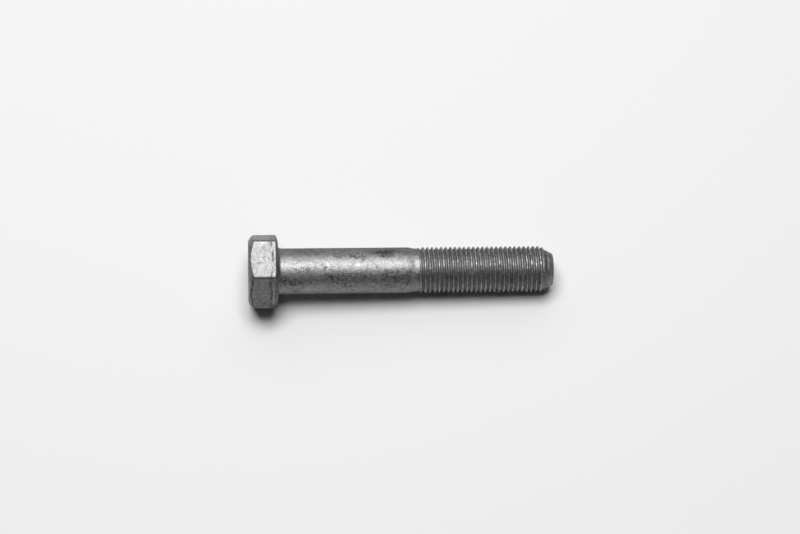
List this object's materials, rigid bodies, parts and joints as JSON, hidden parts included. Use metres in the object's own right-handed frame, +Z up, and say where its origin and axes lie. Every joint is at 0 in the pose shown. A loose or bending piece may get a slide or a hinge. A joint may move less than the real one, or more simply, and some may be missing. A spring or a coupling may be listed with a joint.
{
  "type": "caliper bolt",
  "caption": "Hex-head bolt with a plain shank, a relieved neck, a rolled fine right-hand thread on its lower half and a coned point, lying on its side.",
  "frame": {"origin": "centre of the footprint of the bolt lying at rest, on the surface it lies on", "axes": "+X from the head to the point (the bolt's own axis dips 2.40 degrees below it, as the bolt lies), +Z up, +Y across"},
  "size_m": [0.0842, 0.0214, 0.019],
  "materials": {
    "steel": "dull grey satin, smudged and finely scratched"
  },
  "bodies": {
    "root": {"caliper_bolt": "steel"}
  },
  "joints": []
}
